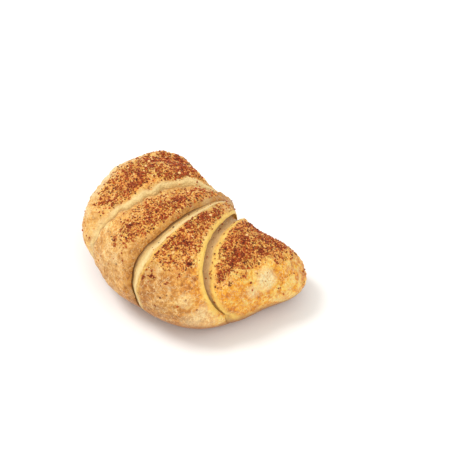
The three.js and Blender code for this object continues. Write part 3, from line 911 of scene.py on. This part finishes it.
def spiced_colour(node, read, colour):
    """The colour stained orange-brown or gold where spice lies, dark red where it clotted, and flecked."""
    tone = plus(node, times(node, read["fine"], 0.85), ranged(node, read["spice"], 0.1, 1, -0.32, 0.15))
    stained = ranged(node, plus(node, read["spice"], times(node, read["fine"], 0.25)), 0.15, 0.75)
    golden = times(node, read["drift"], 0.75)
    stain = mixed(node, golden, ramp(node, tone, STAIN), ramp(node, tone, GOLD_STAIN))
    colour = mixed(node, stained, colour, stain)
    clotted = ranged(node, plus(node, read["clot"], times(node, read["fine"], 0.5)), 0.6, 1.1)
    colour = mixed(node, clotted, colour, ramp(node, read["fine"], CLOT))
    for spacing, share in FLECK_CELLS:
        colour = mixed(node, flecks(node, read, spacing, share), colour, ramp(node, read["speckle"], FLECK))
    return colour


def dough_colour(node, read):
    """Bare dough, streaky along the lip, with a painted highlight on a band's crest and painted shade deep
    under the lip.
    """
    tone = plus(node, times(node, read["streaks"], 0.7), times(node, read["blotch"], 0.3))
    # painted highlight on the band's crest
    colour = mixed(node, times(node, read["crest"], 0.8), ramp(node, tone, DOUGH), CREST_HIGHLIGHT_CREAM)
    # painted shade deep under the lip
    return mixed(node, times(node, read["deep"], 0.85), colour, PAINTED_SHADE_DOUGH)


def crust_material():
    """Washed crust with its spice stain, bare dough on the bands, and the yellow edge, the painted brown
    shade in the cracks under the lips and the tray's brown over both. Pores and pits are bump."""
    material, shader, tree, node = new_material("baked_crust")
    place = node("ShaderNodeTexCoord").node.outputs["Object"]

    def noise(scale, detail, roughness):
        """A noise that is fixed to the crust."""
        return node("ShaderNodeTexNoise", {}, Vector=place, Scale=scale, Detail=detail, Roughness=roughness)

    read = {key: node("ShaderNodeAttribute", {"attribute_name": key}).node.outputs["Fac"] for key in values}
    for key, (scale, detail, roughness, low, high) in CRUST_NOISES.items():
        read[key] = ranged(node, noise(scale, detail, roughness), low, high)
    soft = plus(node, times(node, read["blotch"], 0.75), times(node, read["speckle"], 0.25))
    read["soft"] = ranged(node, soft, 0.15, 0.85)
    read["fine"] = ranged(node, plus(node, read["blotch"], read["speckle"]), 0.35, 1.65)
    read["crease"] = noise(*CREASE_NOISE)
    bending = noise(*BENDING_NOISE).node.outputs["Color"]
    read["bent"] = node(
        "ShaderNodeVectorMath", {"operation": "MULTIPLY_ADD"}, i0=bending, i1=FLECK_BEND, i2=place
    )

    colour = spiced_colour(node, read, washed_colour(node, read))
    colour = mixed(node, read["raw"], colour, dough_colour(node, read))
    colour = mixed(node, times(node, read["yellow"], 0.95), colour, YELLOW_EDGE)
    # painted brown shade in the cracks under the lips
    colour = mixed(node, read["seam"], colour, CRACK_SHADE_BROWN)
    colour = mixed(node, read["tray"], colour, TRAY_BROWN)
    tree.links.new(colour, shader.inputs["Base Color"])
    shader.inputs["Roughness"].default_value = CRUST_ROUGHNESS
    shader.inputs["Specular IOR Level"].default_value = CRUST_SPECULAR
    pores = plus(node, noise(*PORES), times(node, noise(*PITS), 1.6))
    bump = node("ShaderNodeBump", {}, Height=pores, Strength=1.0, Distance=PORE_DEPTH)
    tree.links.new(bump, shader.inputs["Normal"])
    return material


crust.data.materials.append(crust_material())
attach(crust, "root")
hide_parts("croissant")


# ---- The spice ---------------------------------------------------------------------------------------------
# Coarse spice and toasted crumbs, scattered over the egg wash before baking and stuck fast by it: dark pepper
# bits, red-brown paprika flakes, orange crumbs and a few pale flakes, thickest over the crown.
SPICE = {
    # name: how many, half length from and to in mm, chance on even cover and in a clot, colour from and to
    "pepper_bits": (900, 0.2, 0.5, 1.0, 0.7, linear(64, 20, 6), linear(112, 42, 14)),
    "paprika_flakes": (4600, 0.22, 0.6, 1.0, 1.5, linear(98, 28, 6), linear(196, 88, 30)),
    "toasted_crumbs": (1500, 0.24, 0.55, 1.0, 0.3, linear(206, 122, 52), linear(244, 176, 96)),
    "pale_flakes": (45, 0.4, 1.0, 1.0, 0.2, linear(236, 180, 108), linear(250, 208, 144)),
}
FIRST_SEED = 100
# the chance of a stray crumb where there is no cover, and how far from a lip's edge crumbs start, in mm
STRAY_CHANCE = 0.012
LIP_CLEAR = 0.8
# width and thickness as shares of the length, least and most, and how far a crumb sinks in, as a share of it
CRUMB_WIDTH = (0.55, 0.9)
CRUMB_THICKNESS = (0.4, 0.75)
CRUMB_ROUGH = (0.72, 1.22)
CRUMB_SINK = 0.33


def scatter(count, even, clotted, rng):
    """Random spots of the crust, as many as count: its cells are drawn with a chance of area times cover,
    with a few strays where the cover is nil, and each spot lies at a random place in its cell. Gives the
    spots and the surface's own normals there."""
    after = np.roll(points, -1, axis=1)
    a, b, c, d = points[:-1], points[1:], after[1:], after[:-1]
    across = np.cross(c - a, d - b)
    area = np.linalg.norm(across, axis=-1)
    clear = (fields["angle"] < TRAY_ANGLE) * (fields["lip"] > LIP_CLEAR) * smooth((fields["angle"] + 12) / 20)
    clear = clear * (1 - 0.8 * fields["raw"])
    cover = even * fields["spice"] ** 1.2 + clotted * fields["clot"] + STRAY_CHANCE * clear
    chance = area * cover[:-1]
    cell = rng.choice(chance.size, size=count, p=(chance / chance.sum()).ravel())
    u, v = rng.random(count)[:, None], rng.random(count)[:, None]
    a, b, c, d = (corner.reshape(-1, 3)[cell] for corner in (a, b, c, d))
    spot = a * (1 - u) * (1 - v) + b * u * (1 - v) + c * u * v + d * (1 - u) * v
    normal = across.reshape(-1, 3)[cell]
    return spot, normal / np.linalg.norm(normal, axis=1, keepdims=True)


def crumb_shape():
    """The twelve corners and twenty faces of an icosahedron: three golden rectangles at right angles, and a
    face wherever three corners are a side's length apart."""
    golden = (1 + math.sqrt(5)) / 2
    flat = [(0, a, b * golden) for a in (-1, 1) for b in (-1, 1)]
    corners = np.array(flat + [(y, z, x) for x, y, z in flat] + [(z, x, y) for x, y, z in flat], float)
    corners /= np.linalg.norm(corners[0])
    apart = np.linalg.norm(corners[:, None] - corners[None], axis=-1)
    near = (apart > 0) & (apart < 1.1)
    i, j, k = np.array(list(np.ndindex(12, 12, 12))).T
    joined = (i < j) & (j < k) & near[i, j] & near[j, k] & near[i, k]
    faces = np.stack([i, j, k], -1)[joined]
    a, b, c = (corners[faces[:, corner]] for corner in range(3))
    inward = (np.cross(b - a, c - a) * a).sum(-1) < 0
    faces[inward] = faces[inward][:, ::-1]
    return corners, faces


def between(limits, share):
    """From the lower limit at a share of 0 to the upper one at 1."""
    return limits[0] + (limits[1] - limits[0]) * share


def crumbs_mesh(name, count, lengths, even, clotted, seed):
    """Crooked icosahedra, each stretched along a random direction in the crust's plane, flattened towards it,
    roughened corner by corner and sunk by a third into the crust."""
    rng = np.random.default_rng(seed)
    spot, normal = scatter(count, even, clotted, rng)
    corners, faces = crumb_shape()
    size = between(lengths, rng.random(count) ** 1.8)
    helper = np.where(np.abs(normal[:, 2:]) < 0.9, [[0, 0, 1.0]], [[1.0, 0, 0]])
    side = np.cross(helper, normal)
    side /= np.linalg.norm(side, axis=1, keepdims=True)
    other = np.cross(normal, side)
    turn = 2 * math.pi * rng.random(count)[:, None]
    long_way = side * np.cos(turn) + other * np.sin(turn)
    short_way = np.cross(normal, long_way)
    width = between(CRUMB_WIDTH, rng.random(count))
    thickness = between(CRUMB_THICKNESS, rng.random(count))
    rough = between(CRUMB_ROUGH, rng.random((count, 12, 1)))
    stretch = np.stack([np.ones(count), width, thickness], -1)
    local = corners[None] * rough * stretch[:, None] * size[:, None, None]
    axes = np.stack([long_way, short_way, normal], 1)
    placed = np.einsum("nij,njk->nik", local, axes)
    lift = normal * (size * (thickness - CRUMB_SINK))[:, None]
    vertices = (placed + (spot + lift)[:, None]).reshape(-1, 3) * MM
    triangles = faces[None] + 12 * np.arange(count)[:, None, None]
    tones = np.repeat(rng.random(count), 12)
    return new_mesh(name, vertices, triangles.ravel(), np.full(20 * count, 3), {"tone": tones})


def spice_material(name, dark, light):
    """One kind of spice: each crumb has its own tone between two colours, with a fine grain."""
    material, shader, tree, node = new_material(name)
    place = node("ShaderNodeTexCoord").node.outputs["Object"]
    tone = node("ShaderNodeAttribute", {"attribute_name": "tone"}).node.outputs["Fac"]
    fleck = node("ShaderNodeTexNoise", {}, Vector=place, Scale=2600, Detail=2)
    share = plus(node, times(node, fleck, 0.5), times(node, tone, 0.6))
    tree.links.new(mixed(node, share, dark, light), shader.inputs["Base Color"])
    shader.inputs["Roughness"].default_value = 0.55
    shader.inputs["Specular IOR Level"].default_value = 0.3
    bump = node("ShaderNodeBump", {}, Height=fleck, Strength=0.4, Distance=0.1 * MM)
    tree.links.new(bump, shader.inputs["Normal"])
    return material


for order, (name, (count, shortest, longest, even, clotted, dark, light)) in enumerate(SPICE.items()):
    crumbs = crumbs_mesh(name, count, (shortest, longest), even, clotted, FIRST_SEED + order)
    spice = put_in_scene(name, crumbs)
    spice.data.materials.append(spice_material(name, dark, light))
    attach(spice, "root")
    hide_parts("croissant")


# ---- The table, the lights and the camera ------------------------------------------------------------------
# A white table in a bright warm-white room, a soft light high over the croissant on its left as the camera
# sees it, a weaker and wider one in front on its right, and a long lens that looks down over the near tip.
CAMERA_AZIMUTH = 61.4
CAMERA_ELEVATION = 42.8
CAMERA_DISTANCE = 0.7
FOCAL_PIXELS = 1750
IMAGE_PIXELS = 453
SENSOR_WIDTH = 36.0
# the point at the middle of the picture: a point of the croissant, and how far right and up of it that is
LOOK_FROM = np.array([2.7, 3.75, 12.0]) * MM
LOOK_RIGHT = 12.6 * MM
LOOK_UP = 7.4 * MM

turn, rise = math.radians(CAMERA_AZIMUTH), math.radians(CAMERA_ELEVATION)
right = np.array([math.cos(turn), math.sin(turn), 0])
back = np.array([math.sin(turn) * math.cos(rise), -math.cos(turn) * math.cos(rise), math.sin(rise)])
up = np.cross(back, right)
away = np.cross([0, 0, 1.0], right)
overhead = np.array([0, 0, 1.0])


def placed_at(place, x_axis, y_axis, z_axis):
    """The matrix of an object that stands at a place with these three axes of its own."""
    return Matrix([(x_axis[i], y_axis[i], z_axis[i], place[i]) for i in range(3)] + [(0, 0, 0, 1)])


middle = LOOK_FROM + LOOK_RIGHT * right + LOOK_UP * up
lens = bpy.data.cameras.new("camera")
lens.sensor_width = SENSOR_WIDTH
lens.lens = FOCAL_PIXELS / IMAGE_PIXELS * SENSOR_WIDTH
camera = put_in_scene("camera", lens)
camera.matrix_world = placed_at(middle + CAMERA_DISTANCE * back, right, up, back)
bpy.context.scene.camera = camera

TABLE_HALF = 3.0
TABLE_WHITE = (0.95, 0.95, 0.95, 1)
TABLE_ROUGHNESS = 0.9
table_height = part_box("croissant")[0][2]
corners = [(x * TABLE_HALF, y * TABLE_HALF, table_height) for x, y in ((-1, -1), (1, -1), (1, 1), (-1, 1))]
table_mesh = bpy.data.meshes.new("table")
table_mesh.from_pydata(corners, [], [(0, 1, 2, 3)])
table = put_in_scene("table", table_mesh)
table_material, table_shader, *_ = new_material("white_table")
table_shader.inputs["Base Color"].default_value = TABLE_WHITE
table_shader.inputs["Roughness"].default_value = TABLE_ROUGHNESS
table_shader.inputs["Specular IOR Level"].default_value = 0.0
table_mesh.materials.append(table_material)

ROOM_WHITE = (0.995, 0.972, 0.91, 1)
ROOM_STRENGTH = 0.82
room = bpy.data.worlds.new("white_room")
room.use_nodes = True
room.node_tree.nodes["Background"].inputs["Color"].default_value = ROOM_WHITE
room.node_tree.nodes["Background"].inputs["Strength"].default_value = ROOM_STRENGTH
bpy.context.scene.world = room

# each light: the way to it, how far off it stands and how wide it is in metres, and its power in watts
LIGHTS = {
    "key": (-0.6 * right + 0.1 * away + overhead, 1.0, 0.45, 5.1),
    "fill": (0.5 * right - 0.7 * away + 0.8 * overhead, 1.0, 0.9, 2.75),
}
for name, (way, distance, size, power) in LIGHTS.items():
    light = bpy.data.lights.new(name, "AREA")
    light.shape = "DISK"
    light.size = size
    light.energy = power
    way = way / np.linalg.norm(way)
    level = np.cross(overhead, way)
    level /= np.linalg.norm(level)
    lamp = put_in_scene(name, light)
    lamp.matrix_world = placed_at(distance * way, level, np.cross(way, level), way)

bpy.context.scene.view_settings.view_transform = "Standard"
